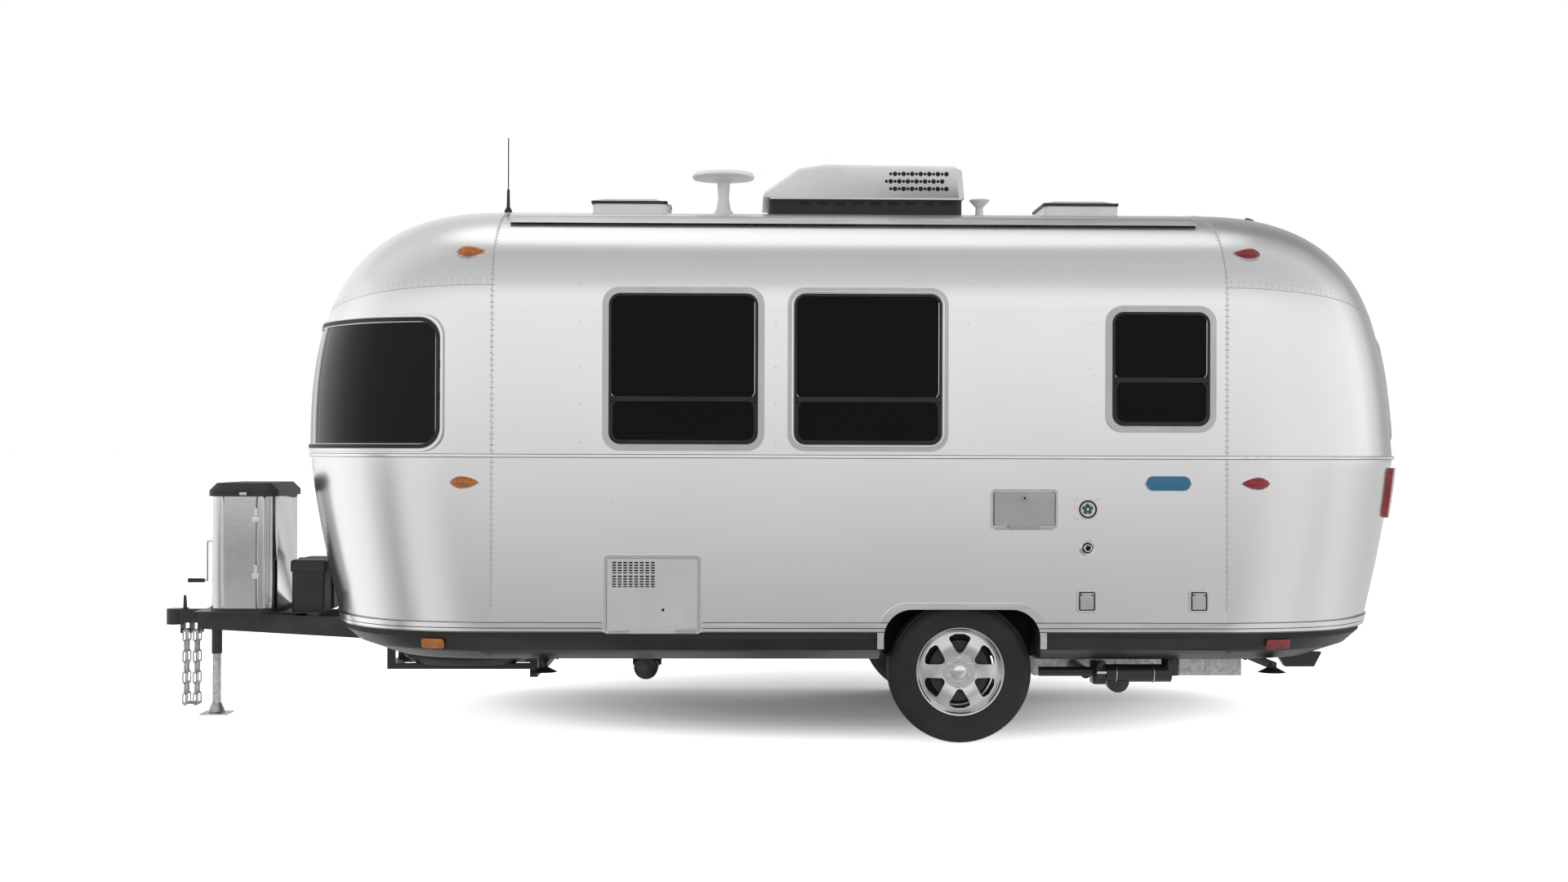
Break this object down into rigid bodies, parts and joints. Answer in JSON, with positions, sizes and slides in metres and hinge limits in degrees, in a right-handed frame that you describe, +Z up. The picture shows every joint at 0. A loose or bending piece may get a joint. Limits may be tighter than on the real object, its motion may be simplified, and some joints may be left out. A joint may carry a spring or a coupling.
{
  "type": "single-axle riveted travel caravan",
  "caption": "Aluminium travel caravan with rounded riveted ends, wrap-around front window, hinged entry door, roof vents, alloy wheels and a tongue jack on an A-frame.",
  "frame": {"origin": "on the floor, under the middle of the overall length and width", "axes": "+X to the rear (coupler at -X), +Y to the curb side with the entry door, +Z up"},
  "size_m": [6.68, 2.4949, 3.105],
  "materials": {
    "skin": "satin anodised sheet, riveted",
    "flange_aluminium": "matt extruded",
    "dark_glass": "dark tinted",
    "floor_board": "plywood deck",
    "under_black": "semi-gloss black",
    "zinc": "galvanised",
    "polished_steel": "mirror polished stainless",
    "black_plastic": "grained moulding",
    "tyre_rubber": "matt black rubber",
    "alloy": "machined bright",
    "cast_hub": "black painted casting",
    "white_plastic": "white moulding",
    "smoke_plastic": "pale moulding",
    "amber_lens": "clear amber",
    "red_lens": "clear red"
  },
  "bodies": {
    "coach": {"front_end": "skin", "rear_end": "skin", "street_wall": "skin", "curb_wall": "skin", "roof": "skin", "window_frames": "flange_aluminium", "window_glass": "dark_glass", "belt_trim": "flange_aluminium", "lower_trim": "flange_aluminium", "drip_rails": "flange_aluminium", "floor": "floor_board", "belly_pan": "under_black", "wheel_wells": "under_black", "chassis": "under_black", "coupler": "under_black", "jack_tube": "under_black", "jack_crank": "zinc", "bottle_cover": "polished_steel", "bottle_lid": "black_plastic", "battery_box": "black_plastic", "axle": "under_black", "door_frames": "flange_aluminium", "service_inlets": "white_plastic", "vent_frames": "white_plastic", "ac_pan": "black_plastic", "ac_shroud": "white_plastic", "roof_fittings": "white_plastic", "rod_antenna": "black_plastic", "amber_lamps": "amber_lens", "red_lamps": "red_lens", "tail_lamps": "red_lens", "tank_pan": "zinc", "drain_pipes": "black_plastic", "hose_tube": "under_black", "spare_tyre": "tyre_rubber", "spare_rim": "alloy", "spare_carrier": "under_black", "underbody_brackets": "under_black", "safety_chains": "zinc"},
    "wheel_left": {"tyre_left": "tyre_rubber", "rim_left": "alloy", "hub_left": "cast_hub"},
    "wheel_right": {"tyre_right": "tyre_rubber", "rim_right": "alloy", "hub_right": "cast_hub"},
    "entry_door": {"entry_door": "skin", "door_glass": "dark_glass"},
    "entry_step": {"entry_step": "under_black"},
    "jack_ram": {"jack_ram": "zinc"},
    "leg_front_left": {"leg_front_left": "under_black"},
    "leg_front_right": {"leg_front_right": "under_black"},
    "leg_rear_left": {"leg_rear_left": "under_black"},
    "leg_rear_right": {"leg_rear_right": "under_black"},
    "heater_door": {"heater_door": "white_plastic"},
    "service_hatch": {"service_hatch": "flange_aluminium"},
    "outlet_lid_front": {"outlet_lid_front": "polished_steel"},
    "outlet_lid_rear": {"outlet_lid_rear": "polished_steel"},
    "front_vent_lid": {"front_vent_lid": "smoke_plastic"},
    "rear_vent_lid": {"rear_vent_lid": "smoke_plastic"}
  },
  "joints": [
    {"name": "wheel_left_spin", "type": "hinge", "parent": "coach", "child": "wheel_left", "pos_m": [0.902, -1.02, 0.357], "axis": [0, 1, 0], "continuous": true},
    {"name": "wheel_right_spin", "type": "hinge", "parent": "coach", "child": "wheel_right", "pos_m": [0.902, 1.02, 0.357], "axis": [0, 1, 0], "continuous": true},
    {"name": "entry_door_hinge", "type": "hinge", "parent": "coach", "child": "entry_door", "pos_m": [-0.403, 1.235, 1.5], "axis": [0, 0, 1], "range_deg": [0, 160]},
    {"name": "entry_step_slide", "type": "slide", "parent": "coach", "child": "entry_step", "axis": [0, 1, 0], "range_m": [0, 0.24]},
    {"name": "jack_lift", "type": "slide", "parent": "coach", "child": "jack_ram", "axis": [0, 0, 1], "range_m": [0, 0.26]},
    {"name": "leg_front_left_drop", "type": "hinge", "parent": "coach", "child": "leg_front_left", "pos_m": [-1.18, -0.52, 0.372], "axis": [1, 0, 0], "range_deg": [0, 42]},
    {"name": "leg_front_right_drop", "type": "hinge", "parent": "coach", "child": "leg_front_right", "pos_m": [-1.18, 0.52, 0.372], "axis": [-1, 0, 0], "range_deg": [0, 42]},
    {"name": "leg_rear_left_drop", "type": "hinge", "parent": "coach", "child": "leg_rear_left", "pos_m": [2.505, -0.52, 0.372], "axis": [1, 0, 0], "range_deg": [0, 42]},
    {"name": "leg_rear_right_drop", "type": "hinge", "parent": "coach", "child": "leg_rear_right", "pos_m": [2.505, 0.52, 0.372], "axis": [-1, 0, 0], "range_deg": [0, 42]},
    {"name": "heater_door_hinge", "type": "hinge", "parent": "coach", "child": "heater_door", "pos_m": [-0.621, -1.2333, 0.56], "axis": [1, 0, 0], "range_deg": [0, 120]},
    {"name": "service_hatch_hinge", "type": "hinge", "parent": "coach", "child": "service_hatch", "pos_m": [1.204, -1.2333, 1.072], "axis": [1, 0, 0], "range_deg": [0, 120]},
    {"name": "outlet_lid_front_hinge", "type": "hinge", "parent": "coach", "child": "outlet_lid_front", "pos_m": [1.513, -1.2333, 0.7525], "axis": [-1, 0, 0], "range_deg": [0, 110]},
    {"name": "outlet_lid_rear_hinge", "type": "hinge", "parent": "coach", "child": "outlet_lid_rear", "pos_m": [2.067, -1.2333, 0.7525], "axis": [-1, 0, 0], "range_deg": [0, 110]},
    {"name": "front_vent_hinge", "type": "hinge", "parent": "coach", "child": "front_vent_lid", "pos_m": [-0.585, 0, 2.795], "axis": [0, 1, 0], "range_deg": [0, 70]},
    {"name": "rear_vent_hinge", "type": "hinge", "parent": "coach", "child": "rear_vent_lid", "pos_m": [1.87, 0, 2.795], "axis": [0, 1, 0], "range_deg": [0, 70]}
  ]
}
